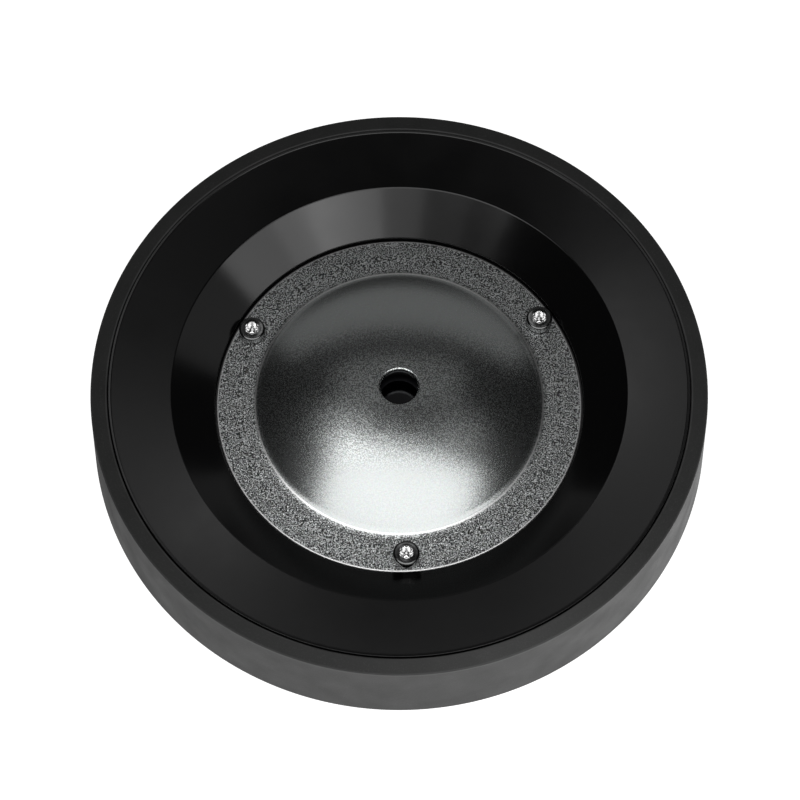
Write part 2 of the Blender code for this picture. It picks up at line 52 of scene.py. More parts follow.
BODIES = frame["record"]["behaviour"]["bodies"]
BODY_OF = {node: body for body, nodes in BODIES.items() for node in nodes}

# Wheel head
HEAD_R = 90.72
RIM_R = 90.0
RIM_Z = 27.06
LIP_R = 85.1
LIP_Z = 27.75
DISC_Z = 5.0
BOSS_R = 27.0
BOSS_Z = 6.5
GROOVE_STEP = 15.0
GROOVE_COUNT = 5
GROOVE_W = 1.2
GROOVE_D = 0.6

# Base shell
BASE_R = 84.8
LAND_Z = 28.05
LAND_IN = 84.1
FUNNEL_R = 83.9
FUNNEL_Z = 27.93
BREAK_R = 66.6
BREAK_Z = 25.45
CONE_DEG = 36.0
BASE_WALL = 3.0
OUTER_WALL = 2.4
OUTER_WALL_Z = 20.5
SEAT_R = 54.3
SEAT_Z = 14.36
SEAT_IN = 38.5
SEAT_UNDER = 11.36
FLOOR_R = 36.2
FLOOR_Z = 16.2
RACE_POCKET_R = 34.9
RACE_POCKET_Z = 13.4
HUB_R = 15.5
HUB_TOP = 19.2
HUB_BOTTOM = 9.5
HUB_LIP_R = 10.6
INSERT_BOSS_R = 5.0
INSERT_BOSS_Z = 7.2

# Cover plate
PLATE_R = 53.9
PLATE_TOP = 15.96
PLATE_T = 1.3
DOME_R = 42.4
DOME_TOP = 27.2
HOLE_R = 5.4
HOLE_ROUND = 0.8
COLLAR_R = 6.6
COLLAR_Z = 25.3
DOME_FILLET = 8.0
UNDER_FOOT_R = DOME_R - 2.2  # where the curved underside of the dome starts
FLANGE_FALL = 0.6

# Cover screws and their inserts
SCREW_CIRCLE = 49.2
SCREW_ANGLES = (32.4, 152.4, 272.4)
SCREW_SEAT_GAP = 0.25
SCREW_HEAD_R = 3.85
SCREW_HEAD_SIDE = 2.2
SCREW_HEAD_H = 3.0
CROWN_R = 0.78 * SCREW_HEAD_R
CROWN_FALL = 0.32
SHOULDER_SEGMENTS = 6
SCREW_R = 2.0
SCREW_END = 8.8
SOCKET_R = 1.66
SOCKET_WAVE = 0.27
SOCKET_LOBES = 6
SOCKET_DEPTH = 1.7
SOCKET_POINT = 0.5  # height of the cone at the bottom of the socket
COUNTERSINK_R = 2.03
THREAD_PITCH = 0.7
THREAD_DEPTH = 0.22
THREAD_RUNOUT = 1.0
SHANK_CHAMFER = 0.4
INSERT_R = 2.8
INSERT_TOP = 14.1
INSERT_BOTTOM = 8.6
KNURLS = 24
KNURL_HALF = 0.06

# Thrust race
RACE_PITCH = 31.0
RACE_HALF_W = 3.5
RACE_T = 2.0
RACE_GROOVE_R = 2.7
RACE_GROOVE_D = 0.7
RACE_EDGE = 0.2
THRUST_BALL_R = 2.5
THRUST_BALLS = 12
THRUST_BALL_Z = 9.2
THRUST_CAGE_HALF_W = 3.1
THRUST_CAGE_T = 1.4
THRUST_BALL_PLAY = 0.2

# Spindle, its screws and its retaining ring
SPINDLE_FLANGE_R = 17.5
SPINDLE_FLANGE_TOP = 9.0
SHOULDER_R = 7.4
SPINDLE_R = 5.9
SPINDLE_TOP = 18.8
SPINDLE_CHAMFER = 0.4
FLANGE_SCREWS = 4
FLANGE_SCREW_CIRCLE = 12.4
FLANGE_SCREW_SUNK = 0.1
FLANGE_SCREW_HEAD_R = 3.7
FLANGE_SCREW_HEAD_SIDE = 0.3
FLANGE_SCREW_R = 1.9
FLANGE_SCREW_END = 2.2
FLANGE_HOLE_END = 1.9
HEX_R = 1.45
HEX_DEPTH = 1.3
HEX_POINT = 0.3
HEX_CHAMFER = 0.12
SPINDLE_GROOVE_R = 5.3
SPINDLE_GROOVE_LOW = 17.5
SPINDLE_GROOVE_HIGH = 18.4
WASHER_R = 7.3
WASHER_T = 0.4
SPINDLE_CLIP_RADII = (5.6, 7.9)
SPINDLE_CLIP_OPENING_DEG = 34.0

# Spindle bearing, 12 x 24 x 6 mm
BEARING_BOTTOM = 10.7
BEARING_T = 6.0
BEARING_R = 12.0
BEARING_BORE_R = 6.05
INNER_RING_R = 7.6
OUTER_RING_R = 10.4
BEARING_PITCH = 9.0
BEARING_BALL_R = 1.6
BEARING_BALLS = 8
BEARING_GROOVE_R = 1.75
SHIELD_T = 0.4
SHIELD_INSET = 0.25
BEARING_CAGE_INSET = 0.55
BEARING_CAGE_HALF_H = 2.15
BEARING_BALL_PLAY = 0.3
POCKET_LIFT = 0.003  # keeps the pockets' corners off the middle of the cage's wall
BORE_PLAY = 0.1
BORE_GROOVE_DEPTH = 0.85
BORE_GROOVE_W = 1.2
BORE_CLIP_RADII = (10.3, 12.6)
BORE_CLIP_OPENING_DEG = 30.0
CLIP_PLAY = 0.1
CLIP_EDGE = 0.12

# Camera and floor
CAMERA_DEG = 64.87  # above the horizon
CAMERA_DISTANCE = 12 * RIM_R
CAMERA_AIM = (0.0026 * RIM_R, -0.0498 * RIM_R, RIM_Z)
CAMERA_LENS = 167.02
CAMERA_SENSOR = 36.0
FLOOR_HALF = 4000.0
FLOOR_DROP = 0.2  # keeps the floor clear of the working face

# Resolution
BIG_STEPS = 240
MID_STEPS = 96
SMALL_STEPS = 48
POCKET_STEPS = 24
ROUND_SEGMENTS = 6
DOME_SEGMENTS = 60
UNDERSIDE_SEGMENTS = 40
BEND_SEGMENTS = 10
GROOVE_SEGMENTS = 12
CLIP_SEGMENTS = 80
SUPPORT = 0.06  # distance of the loops that keep flat faces flat beside a rounded edge
LONG_RUN = 6 * SUPPORT
ON_AXIS = 1e-6
SHARP_DEG = 34.0
CUT_PHASE = 0.37  # turns the cutters so that their corners miss the corners of what they cut


# ---------------------------------------------------------------- profiles


def rounded(points, segments=ROUND_SEGMENTS):
    """A profile with its corners rounded: a point (r, z, radius) becomes an arc."""
    out = []
    for i, point in enumerate(points):
        if len(point) == 2:
            out.append(point)
            continue
        here = Vector(point[:2])
        before = Vector(points[i - 1][:2])
        after = Vector(points[(i + 1) % len(points)][:2])
        to_before = (before - here).normalized()
        to_after = (after - here).normalized()
        half = to_before.angle(to_after) / 2
        reach = point[2] / math.tan(half)
        middle = here + (to_before + to_after).normalized() * point[2] / math.sin(half)
        start = here + to_before * reach - middle
        sweep = start.angle_signed(here + to_after * reach - middle)
        for step in range(segments + 1):
            spun = Matrix.Rotation(-sweep * step / segments, 2)
            out.append(tuple(middle + spun @ start))
    return out


def supported(profile, closed):
    """Adds a point close to each end of every long straight run."""
    out = []
    count = len(profile)
    for i, point in enumerate(profile):
        out.append(point)
        if i == count - 1 and not closed:
            break
        here, after = Vector(point), Vector(profile[(i + 1) % count])
        along = after - here
        if along.length > LONG_RUN:
            step = along.normalized() * SUPPORT
            out += [tuple(here + step), tuple(after - step)]
    return out


def arc(centre, radius, start_deg, end_deg, segments):
    """Points (r, z) along an arc, both ends included."""
    out = []
    for i in range(segments + 1):
        r, z = polar(radius, start_deg + (end_deg - start_deg) * i / segments)
        out.append((centre[0] + r, centre[1] + z))
    return out


def flat_ring(inner, outer, low, high, edge, segments):
    """The section of a flat ring with its four edges rounded."""
    corners = ((outer, high), (outer, low), (inner, low), (inner, high))
    return rounded([(r, z, edge) for r, z in corners], segments)


def polar(radius, degrees):
    angle = math.radians(degrees)
    return radius * math.cos(angle), radius * math.sin(angle)


def on_circle(radius, count):
    return [polar(radius, 360.0 * i / count) for i in range(count)]


# ---------------------------------------------------------------- meshes


def loft(name, rings, closed=False):
    """Joins rings of equal count, each a list of points; a ring of one point is a pole."""
    count = max(len(ring) for ring in rings)
    points, index = [], []
    for ring in rings:
        start = len(points)
        points += [Vector(point) * MM for point in ring]
        index.append([start] * count if len(ring) == 1 else list(range(start, start + count)))
    pairs = list(zip(index, index[1:]))
    if closed:
        pairs.append((index[-1], index[0]))
    faces = []
    for upper, lower in pairs:
        for i in range(count):
            j = (i + 1) % count
            faces.append(tuple(dict.fromkeys((upper[i], lower[i], lower[j], upper[j]))))
    mesh = bpy.data.meshes.new(name)
    mesh.from_pydata(points, [], faces)
    return finished(mesh)


def finished(mesh):
    """The mesh shaded smooth, with its steep edges kept sharp."""
    mesh.validate()
    mesh.shade_smooth()
    mesh.set_sharp_from_angle(angle=math.radians(SHARP_DEG))
    mesh.update()
    return mesh


def ring(radius, z, steps, centre=(0.0, 0.0), phase=0.0):
    """A level ring of points. The radius is a number, or a function of the angle."""
    out = []
    for i in range(steps):
        angle = 2 * math.pi * (i + phase) / steps
        r = radius(angle) if callable(radius) else radius
        out.append((centre[0] + r * math.cos(angle), centre[1] + r * math.sin(angle), z))
    return out


def stack(levels, steps, centre, phase=0.0):
    """Level rings round one centre, one for each (radius, z)."""
    return [ring(radius, z, steps, centre, phase) for radius, z in levels]


def turned(name, profile, steps, closed=True):
    """A turned shape. Its profile (r, z) runs down its outer side, and is a loop if closed."""
    rings = []
    for r, z in supported(profile, closed):
        rings.append([(0.0, 0.0, z)] if r < ON_AXIS else ring(r, z, steps))
    return loft(name, rings, closed)


def combine(mesh, cutters, operation="DIFFERENCE"):
    """The mesh after an exact Boolean with each cutter mesh in turn."""
    scratch = bpy.data.objects.new("scratch", mesh)
    bpy.context.scene.collection.objects.link(scratch)
    helpers = []
    for cutter in cutters:
        helper = bpy.data.objects.new("cutter", cutter)
        bpy.context.scene.collection.objects.link(helper)
        boolean = scratch.modifiers.new("boolean", "BOOLEAN")
        boolean.object = helper
        boolean.operation = operation
        boolean.solver = "EXACT"
        helpers.append(helper)
    bpy.context.view_layer.update()
    evaluated = scratch.evaluated_get(bpy.context.evaluated_depsgraph_get())
    made = bpy.data.meshes.new_from_object(evaluated)
    made.name = mesh.name
    for helper in helpers + [scratch]:
        bpy.data.objects.remove(helper, do_unlink=True)
    return finished(made)


def pin(radius, low, high, centre):
    """An upright cylinder, to cut or to join with."""
    wall = stack([(radius, high), (radius, low)], SMALL_STEPS, centre, CUT_PHASE)
    return loft("pin", [[(*centre, high)]] + wall + [[(*centre, low)]])


def pins(radius, low, high, centres):
    return [pin(radius, low, high, centre) for centre in centres]


def ball(name, radius, centre, steps=SMALL_STEPS, phase=0.0):
    """A sphere of rings, with a pole at the top and at the bottom."""
    half = steps // 2
    x, y, z = centre
    rings = [[(x, y, z + radius)]]
    for i in range(1, half):
        r, height = polar(radius, 90 - 180.0 * i / half)
        rings.append(ring(r, z + height, steps, (x, y), phase))
    rings.append([(x, y, z - radius)])
    return loft(name, rings)


def place(node, mesh, material):
    """The fine mesh stands for the CAD node and moves with its body."""
    obj = bpy.data.objects.new(f"{node}_fine", mesh)
    bpy.context.scene.collection.objects.link(obj)
    mesh.materials.clear()
    mesh.materials.append(material)
    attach(obj, BODY_OF[node])
    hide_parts(node)


# ---------------------------------------------------------------- material nodes


class Finish:
    """A procedural material, built one node at a time on its Principled shader."""

    def __init__(self, name, roughness, metallic=0.0):
        self.material = bpy.data.materials.new(name)
        self.material.use_nodes = True
        self.tree = self.material.node_tree
        self.shader = self.tree.nodes["Principled BSDF"]
        self.shader.inputs["Roughness"].default_value = roughness
        self.shader.inputs["Metallic"].default_value = metallic
        self.position = self.node("ShaderNodeTexCoord").outputs["Object"]
        split = self.node("ShaderNodeSeparateXYZ", Vector=self.position)
        self.height = split.outputs["Z"]
        flat = self.node("ShaderNodeCombineXYZ", X=split.outputs["X"], Y=split.outputs["Y"])
        length = self.node("ShaderNodeVectorMath", operation="LENGTH", Vector=flat.outputs[0])
        self.radius = length.outputs["Value"]

    def node(self, kind, **settings):
        """Adds a node. A setting is a property of the node or the value or link of an input."""
        made = self.tree.nodes.new(kind)
        for name, value in settings.items():
            if hasattr(made, name):
                setattr(made, name, value)
        for name, value in settings.items():
            if not hasattr(made, name):
                self.feed(made.inputs[name.replace("_", " ")], value)
        return made

    def feed(self, socket, value):
        if isinstance(value, bpy.types.NodeSocket):
            self.tree.links.new(value, socket)
        else:
            socket.default_value = value

    def math(self, operation, *values):
        made = self.node("ShaderNodeMath", operation=operation)
        for socket, value in zip(made.inputs, values):
            self.feed(socket, value)
        return made.outputs[0]

    def noise(self, size_mm, detail=2.0, roughness=0.5, output="Fac"):
        """Noise whose features are about size_mm across."""
        made = self.node(
            "ShaderNodeTexNoise",
            Vector=self.position,
            Scale=1.0 / (size_mm * MM),
            Detail=detail,
            Roughness=roughness,
        )
        return made.outputs[output]

    def scaled(self, value, from_low, from_high, to_low, to_high):
        made = self.node("ShaderNodeMapRange")
        limits = (value, from_low, from_high, to_low, to_high)
        for socket, limit in zip(made.inputs, limits):
            self.feed(socket, limit)
        return made.outputs[0]

    def band(self, value, middle_mm, half_mm, soft_mm):
        """1 where the value is within half_mm of the middle, falling to 0 over soft_mm."""
        away = self.math("ABSOLUTE", self.math("SUBTRACT", value, middle_mm * MM))
        return self.scaled(away, half_mm * MM, (half_mm + soft_mm) * MM, 1.0, 0.0)

    def mix(self, factor, first, second):
        """A mix of two colours, whose sockets are inputs 6 and 7 and output 2 of the node."""
        made = self.node("ShaderNodeMix", data_type="RGBA")
        sockets = (made.inputs["Factor"], made.inputs[6], made.inputs[7])
        for socket, value in zip(sockets, (factor, first, second)):
            self.feed(socket, value)
        return made.outputs[2]

    def set(self, **inputs):
        for name, value in inputs.items():
            self.feed(self.shader.inputs[name.replace("_", " ")], value)

    def bump(self, height, distance_mm, strength=1.0, onto=None):
        made = self.node("ShaderNodeBump", Height=height, Distance=distance_mm * MM)
        made.inputs["Strength"].default_value = strength
        if onto is not None:
            self.feed(made.inputs["Normal"], onto)
        return made.outputs[0]

    def grain(self, size_mm, amount):
        """A normal tilted at random by grains of about size_mm; amount is a number or a link."""
        colour = self.noise(size_mm, 0.0, 0.5, "Color")
        centred = self.node("ShaderNodeVectorMath", operation="SUBTRACT")
        self.feed(centred.inputs[0], colour)
        centred.inputs[1].default_value = (0.5, 0.5, 0.5)
        tilt = self.node("ShaderNodeVectorMath", operation="SCALE")
        self.feed(tilt.inputs[0], centred.outputs[0])
        self.feed(tilt.inputs["Scale"], amount)
        total = self.node("ShaderNodeVectorMath", operation="ADD")
        self.feed(total.inputs[0], self.node("ShaderNodeNewGeometry").outputs["Normal"])
        self.feed(total.inputs[1], tilt.outputs[0])
        made = self.node("ShaderNodeVectorMath", operation="NORMALIZE")
        self.feed(made.inputs[0], total.outputs[0])
        return made.outputs[0]


def grey(value, tint=(1.0, 1.0, 1.0)):
    """A colour of one value, or of one value times a tint."""
    return (*(value * part for part in tint), 1.0)


def textured_coat():
    """Black powder coat: a fine pebbled surface, lighter along the rim's top edges with a little
    wear and a painted highlight.
    """
    finish = Finish("textured_coat", 0.5)
    pebbles = finish.noise(0.55, 3.0, 0.55)
    patches = finish.noise(9.0, 3.0)
    speckle = finish.noise(0.35, 1.0)
    # lighter bands on the top edges of the lip and the rim: a little wear and a painted highlight
    wear_and_highlight = finish.math(
        "MAXIMUM",
        finish.band(finish.radius, LIP_R + 0.2, 0.15, 0.25),
        finish.band(finish.radius, RIM_R - 0.1, 0.15, 0.3),
    )
    raised = finish.math("GREATER_THAN", finish.height, (RIM_Z - 1.0) * MM)
    wear_and_highlight = finish.math("MULTIPLY", finish.math("MULTIPLY", wear_and_highlight, raised), patches)
    tone = finish.mix(patches, grey(0.016, (1.0, 1.02, 1.0)), grey(0.023, (1.0, 1.01, 0.99)))
    tone = finish.mix(finish.scaled(speckle, 0.55, 0.8, 0.0, 0.6), tone, grey(0.045))
    # the edges lightened by wear and by a painted highlight
    tone = finish.mix(wear_and_highlight, tone, grey(0.06))
    rough = finish.scaled(patches, 0.3, 0.7, 0.44, 0.54)
    finish.set(Base_Color=tone, Roughness=rough, Normal=finish.bump(pebbles, 0.03))
    finish.set(Specular_IOR_Level=0.25)
    return finish.material


def gloss_black():
    """Moulded gloss black: faint flow ripple, smudges from handling and a little dust."""
    finish = Finish("gloss_black", 0.16)
    ripple = finish.noise(7.0, 2.0)
    smudge = finish.noise(26.0, 4.0, 0.6)
    dust = finish.scaled(finish.noise(0.5, 1.0), 0.74, 0.8, 0.0, 0.5)
    tone = finish.mix(dust, grey(0.0028, (1.0, 1.0, 1.05)), grey(0.01))
    rough = finish.scaled(smudge, 0.35, 0.7, 0.135, 0.19)
    finish.set(Base_Color=tone, Roughness=rough, Normal=finish.bump(ripple, 0.004))
    return finish.material


def plate_steel():
    """Pressed steel with a sparkling grain, strong on the flange and in a band across the dome.

    The foot of the dome and the plate's edge carry a painted highlight, a bright band in the
    colour."""
    finish = Finish("plate_steel", 0.3, 1.0)
    cool = (0.965, 1.01, 1.0)
    flange = finish.scaled(finish.radius, (DOME_R - 0.5) * MM, (DOME_R + 1.0) * MM, 0.0, 1.0)
    across = finish.node("ShaderNodeSeparateXYZ", Vector=finish.position).outputs["Y"]
    hue = finish.noise(0.7, 1.0, 0.5, "Color")
    cloud = finish.noise(14.0, 2.0)
    speckle = finish.scaled(finish.noise(0.38, 0.0), 0.43, 0.57, 0.0, 1.0)
    on_flange = finish.mix(speckle, grey(0.07, (0.96, 1.01, 1.0)), grey(1.0, (0.97, 1.0, 1.0)))
    strong = finish.mix(speckle, grey(0.2, cool), grey(0.88, cool))
    strength = finish.scaled(finish.band(across, -2.0, 9.0, 15.0), 0.0, 1.0, 0.05, 0.75)
    on_dome = finish.mix(strength, grey(0.54, cool), strong)
    tone = finish.mix(flange, on_dome, on_flange)
    tone = finish.mix(0.07, tone, hue)
    tone = finish.mix(finish.scaled(cloud, 0.35, 0.65, 0.0, 0.1), tone, grey(0.46))
    # painted highlight: bright bands at the dome's foot and round the plate's edge
    painted_edge_highlight = finish.math(
        "MAXIMUM",
        finish.band(finish.radius, DOME_R - 0.1, 0.12, 0.25),
        finish.band(finish.radius, PLATE_R, 0.6, 0.15),
    )
    tone = finish.mix(painted_edge_highlight, tone, grey(1.0))
    rough = finish.scaled(flange, 0.0, 1.0, 0.245, 0.385)
    # less grain tilt under the painted highlight
    off_highlight = finish.scaled(painted_edge_highlight, 0.0, 1.0, 1.0, 0.2)
    tilt = finish.math("MULTIPLY", finish.scaled(flange, 0.0, 1.0, 0.08, 0.48), off_highlight)
    finish.set(Base_Color=tone, Roughness=rough, Normal=finish.grain(0.36, tilt))
    return finish.material


def turned_metal(name, colour, roughness, mark_mm=0.35, depth_mm=0.003):
    """Bare or plated metal with fine concentric turning marks and faint stains."""
    finish = Finish(name, roughness, 1.0)
    stain = finish.noise(4.0, 3.0)
    fine = finish.noise(0.4, 2.0)
    turns = finish.math("MULTIPLY", finish.radius, 2 * math.pi / (mark_mm * MM))
    marks = finish.math("SINE", turns)
    darker = (*(0.82 * part for part in colour), 1.0)
    tone = finish.mix(finish.scaled(stain, 0.35, 0.7, 0.0, 1.0), (*colour, 1.0), darker)
    rough = finish.scaled(fine, 0.3, 0.7, 0.85 * roughness, 1.2 * roughness)
    finish.set(Base_Color=tone, Roughness=rough, Normal=finish.bump(marks, depth_mm))
    return finish.material


def screw_steel():
    """Dark plating on the heads and shanks of the cover screws."""
    finish = Finish("screw_steel", 0.26, 1.0)
    fine = finish.noise(0.3, 2.0)
    tone = finish.mix(fine, grey(0.11), grey(0.2, (0.98, 1.0, 1.0)))
    rough = finish.scaled(fine, 0.3, 0.7, 0.12, 0.2)
    finish.set(Base_Color=tone, Roughness=rough, Normal=finish.bump(fine, 0.006))
    return finish.material


def socket_highlight_steel():
    """Bright steel in the sockets: a painted highlight, a far brighter copy of the screws' steel.
    """
    finish = Finish("socket_highlight_steel", 0.18, 1.0)
    fine = finish.noise(0.25, 2.0)
    # far brighter than the screws' steel: a painted highlight in the sockets
    tone = finish.mix(fine, grey(0.8), grey(0.95))
    finish.set(Base_Color=tone, Roughness=finish.scaled(fine, 0.3, 0.7, 0.1, 0.2))
    return finish.material


def moulded(name, colour, roughness, speckle):
    """Moulded nylon or rubber with a soft mottle."""
    finish = Finish(name, roughness)
    mottle = finish.noise(1.5, 3.0)
    other = (*(part * speckle for part in colour), 1.0)
    tone = finish.mix(mottle, (*colour, 1.0), other)
    rough = finish.scaled(mottle, 0.3, 0.7, roughness - 0.06, roughness + 0.06)
    finish.set(Base_Color=tone, Roughness=rough, Normal=finish.bump(mottle, 0.01))
    return finish.material


COAT = textured_coat()
GLOSS = gloss_black()
PLATE = plate_steel()
SCREW = screw_steel()
SOCKET_HIGHLIGHT = socket_highlight_steel()
BRASS = turned_metal("insert_brass", (0.6, 0.43, 0.18), 0.35)
RACE = turned_metal("race_steel", (0.5, 0.5, 0.51), 0.22, 0.25, 0.001)
BALL = turned_metal("ball_steel", (0.66, 0.66, 0.67), 0.07, 0.6, 0.0)
SPINDLE = turned_metal("spindle_steel", (0.05, 0.05, 0.052), 0.1, 0.35, 0.0003)
SPRING = turned_metal("spring_steel", (0.05, 0.05, 0.055), 0.4)
ZINC = turned_metal("zinc_plate", (0.55, 0.56, 0.58), 0.32)
NYLON = moulded("cage_nylon", (0.55, 0.5, 0.4), 0.5, 0.8)
RUBBER = moulded("seal_rubber", (0.02, 0.02, 0.02), 0.6, 1.5)


# ---------------------------------------------------------------- wheel head body


def wheel_head():
    """A tray with a skirt and an inner boss, and centring grooves in its working face."""
    profile = [(0.0, BOSS_Z), (BOSS_R, BOSS_Z, 0.4), (BOSS_R, DISC_Z, 0.4)]
    profile += [(LIP_R, DISC_Z, 1.5), (LIP_R, LIP_Z, 0.45), (RIM_R, RIM_Z, 0.4)]
    profile += [(HEAD_R, 0.0, 1.0)]
    for i in range(GROOVE_COUNT, 0, -1):
        middle = i * GROOVE_STEP
        profile.append((middle + GROOVE_W / 2, 0.0, 0.1))
        profile.append((middle, GROOVE_D, 0.15))
        profile.append((middle - GROOVE_W / 2, 0.0, 0.1))
    profile.append((0.0, 0.0))
    mesh = turned("wheel_head", rounded(profile), BIG_STEPS, closed=False)
    holes = on_circle(FLANGE_SCREW_CIRCLE, FLANGE_SCREWS)
    mesh = combine(mesh, pins(FLANGE_SCREW_R + GAP, FLANGE_HOLE_END, BOSS_Z + 1, holes))
    place("wheel_head", mesh, COAT)


def race_profile(low, high, facing):
    """A flat ring with a ball groove in its top (facing 1) or its bottom (facing -1)."""
    inner, outer = RACE_PITCH - RACE_HALF_W, RACE_PITCH + RACE_HALF_W
    reach = math.degrees(math.acos(1 - RACE_GROOVE_D / RACE_GROOVE_R))
    face = high if facing > 0 else low
    centre = (RACE_PITCH, face + facing * (RACE_GROOVE_R - RACE_GROOVE_D))
    bottom_deg = -90.0 * facing
    groove = arc(centre, RACE_GROOVE_R, bottom_deg - reach, bottom_deg + reach, GROOVE_SEGMENTS)
    outer_high, outer_low = (outer, high, RACE_EDGE), (outer, low, RACE_EDGE)
    inner_high, inner_low = (inner, high, RACE_EDGE), (inner, low, RACE_EDGE)
    if facing > 0:
        return rounded([outer_high, outer_low, inner_low, inner_high] + groove)
    return rounded([outer_low] + groove + [inner_low, inner_high, outer_high])


def head_race():
    low = DISC_Z + GAP
    mesh = turned("head_race", race_profile(low, low + RACE_T, 1), BIG_STEPS)
    place("head_race", mesh, RACE)


def spindle():
    """A flange and a shaft with a shoulder, a retaining-ring groove and four screw holes."""
    profile = [(0.0, SPINDLE_TOP), (SPINDLE_R - SPINDLE_CHAMFER, SPINDLE_TOP)]
    profile += [(SPINDLE_R, SPINDLE_TOP - SPINDLE_CHAMFER)]
    profile += [(SPINDLE_R, SPINDLE_GROOVE_HIGH), (SPINDLE_GROOVE_R, SPINDLE_GROOVE_HIGH)]
    profile += [(SPINDLE_GROOVE_R, SPINDLE_GROOVE_LOW), (SPINDLE_R, SPINDLE_GROOVE_LOW)]
    profile += [(SPINDLE_R, BEARING_BOTTOM - GAP)]
    profile += [(SHOULDER_R, BEARING_BOTTOM - GAP, 0.3), (SHOULDER_R, SPINDLE_FLANGE_TOP, 0.4)]
    profile += [(SPINDLE_FLANGE_R, SPINDLE_FLANGE_TOP, 0.4), (SPINDLE_FLANGE_R, BOSS_Z + GAP, 0.3)]
    profile += [(0.0, BOSS_Z + GAP)]
    mesh = turned("spindle", rounded(profile), MID_STEPS, closed=False)
    wide = FLANGE_SCREW_HEAD_R + GAP
    narrow = FLANGE_SCREW_R + GAP
    top = SPINDLE_FLANGE_TOP
    levels = [(wide, top + 1), (wide, top), (narrow, top - wide + narrow), (narrow, BOSS_Z - 1)]
    sinks = []
    for centre in on_circle(FLANGE_SCREW_CIRCLE, FLANGE_SCREWS):
        wall = stack(levels, SMALL_STEPS, centre, CUT_PHASE)
        sinks.append(loft("sink", [[(*centre, top + 1)]] + wall + [[(*centre, BOSS_Z - 1)]]))
    place("spindle", combine(mesh, sinks), SPINDLE)


def threaded(top, bottom, radius, centre, steps):
    """Rings of a screw's shank from its top down: thread crests and roots, then a chamfer."""
    levels = []
    for i in range(int((top - bottom - THREAD_RUNOUT) / THREAD_PITCH)):
        crest = top - i * THREAD_PITCH
        levels += [(radius, crest), (radius - THREAD_DEPTH, crest - THREAD_PITCH / 2)]
    end = radius - THREAD_DEPTH
    levels += [(end, bottom + SHANK_CHAMFER), (end - SHANK_CHAMFER, bottom)]
    return stack(levels, steps, centre) + [[(*centre, bottom)]]


def hexagon(radius):
    """The radius of a hexagon as a function of the angle."""

    def at(angle):
        off_flat = (angle + math.pi / 6) % (math.pi / 3) - math.pi / 6
        return radius * math.cos(math.pi / 6) / math.cos(off_flat)

    return at


def flange_screws():
    """Countersunk screws with a hexagonal socket, sunk a little below the flange."""
    top = SPINDLE_FLANGE_TOP - FLANGE_SCREW_SUNK
    side = top - FLANGE_SCREW_HEAD_SIDE
    neck = side - (FLANGE_SCREW_HEAD_R - FLANGE_SCREW_R)
    flats, mouth = hexagon(HEX_R), hexagon(HEX_R + HEX_CHAMFER)
    levels = [(flats, top - HEX_DEPTH), (flats, top - HEX_CHAMFER), (mouth, top)]
    levels += [(FLANGE_SCREW_HEAD_R - 0.15, top), (FLANGE_SCREW_HEAD_R, top - 0.1)]
    levels += [(FLANGE_SCREW_HEAD_R, side), (FLANGE_SCREW_R, neck)]
    for i, centre in enumerate(on_circle(FLANGE_SCREW_CIRCLE, FLANGE_SCREWS)):
        rings = [[(*centre, top - HEX_DEPTH - HEX_POINT)]] + stack(levels, SMALL_STEPS, centre)
        rings += threaded(neck - 0.4, FLANGE_SCREW_END, FLANGE_SCREW_R, centre, SMALL_STEPS)
        place(f"flange_screw_{i + 1}", loft("flange_screw", rings), ZINC)


def bearing_rings():
    """The two rings of the spindle bearing, each with its ball groove."""
    low, high = BEARING_BOTTOM, BEARING_BOTTOM + BEARING_T
    middle = (low + high) / 2
    reach = math.degrees(math.acos((BEARING_PITCH - INNER_RING_R) / BEARING_GROOVE_R))
    centre = (BEARING_PITCH, middle)
    groove = arc(centre, BEARING_GROOVE_R, 180 - reach, 180 + reach, GROOVE_SEGMENTS)
    profile = [(INNER_RING_R, high)] + groove + [(INNER_RING_R, low)]
    profile += [(BEARING_BORE_R, low, 0.3), (BEARING_BORE_R, high, 0.3)]
    place("bearing_inner_ring", turned("bearing_inner_ring", rounded(profile), MID_STEPS), RACE)
    reach = math.degrees(math.acos((OUTER_RING_R - BEARING_PITCH) / BEARING_GROOVE_R))
    groove = arc(centre, BEARING_GROOVE_R, -reach, reach, GROOVE_SEGMENTS)
    profile = [(BEARING_R, high, 0.3), (BEARING_R, low, 0.3), (OUTER_RING_R, low)]
    profile += groove + [(OUTER_RING_R, high)]
    place("bearing_outer_ring", turned("bearing_outer_ring", rounded(profile), MID_STEPS), RACE)


def spindle_washer():
    low = BEARING_BOTTOM + BEARING_T + GAP
    profile = flat_ring(BEARING_BORE_R, WASHER_R, low, low + WASHER_T, 0.08, 3)
    place("spindle_washer", turned("spindle_washer", profile, MID_STEPS), ZINC)


# ---------------------------------------------------------------- base body


